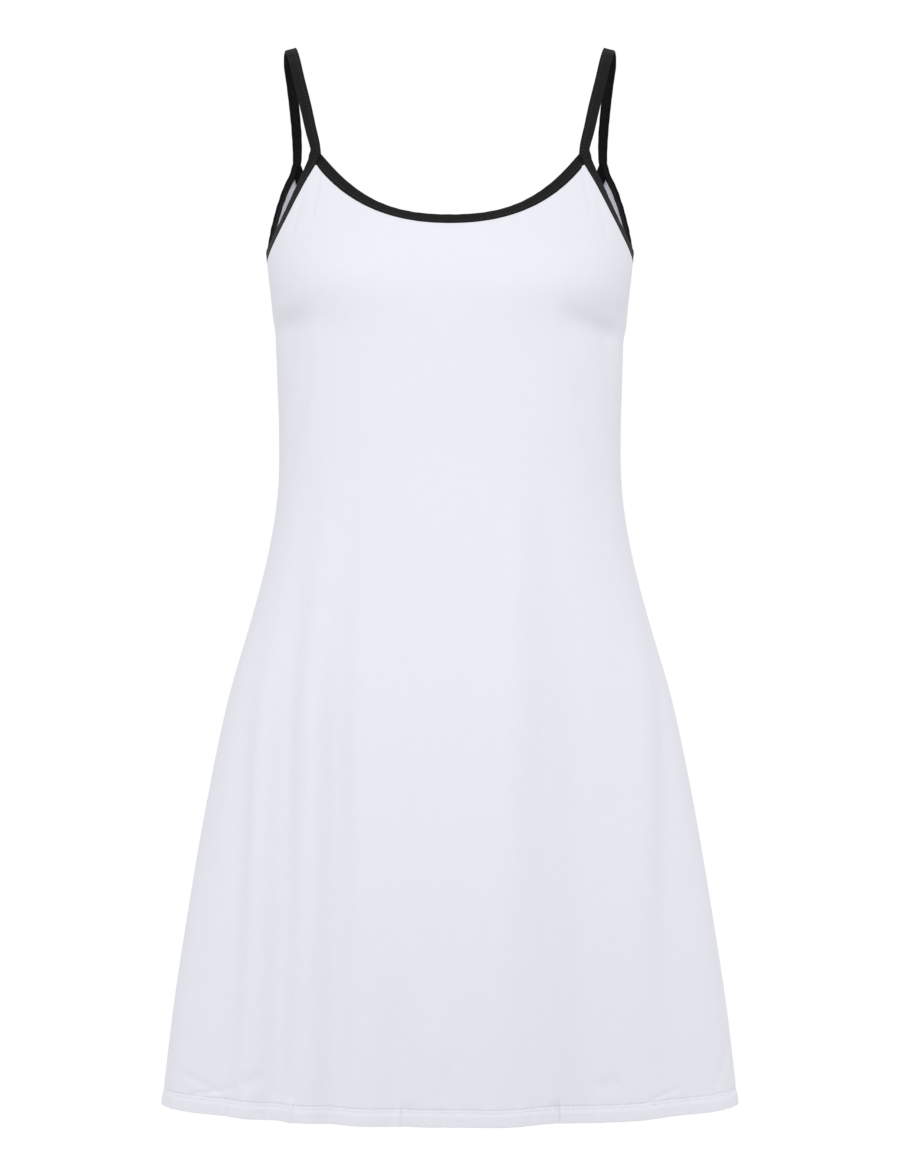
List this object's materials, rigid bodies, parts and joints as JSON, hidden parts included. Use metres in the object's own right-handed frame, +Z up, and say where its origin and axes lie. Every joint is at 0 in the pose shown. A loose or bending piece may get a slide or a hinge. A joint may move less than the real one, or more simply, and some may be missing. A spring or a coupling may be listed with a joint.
{
  "type": "tennis dress",
  "caption": "Sleeveless A-line tennis dress with thin straps, dark binding at the scooped neck and armholes, and a softly fluted skirt, filled out and hollow.",
  "frame": {"origin": "midway between the undersides of the two straps at the top of the shoulders, where the wearer's shoulders hold the dress", "axes": "+Z up, -Y out of the front, +X towards the wearer's left side"},
  "size_m": [0.4498, 0.3021, 0.8225],
  "materials": {
    "white_jersey": "smooth knitted jersey",
    "black_binding": "matt folded tape"
  },
  "bodies": {
    "root": {"front_panel": "white_jersey", "back_panel": "white_jersey", "neck_binding_front": "black_binding", "neck_binding_back": "black_binding", "strap_and_armhole_left": "black_binding", "strap_and_armhole_right": "black_binding"}
  },
  "joints": []
}
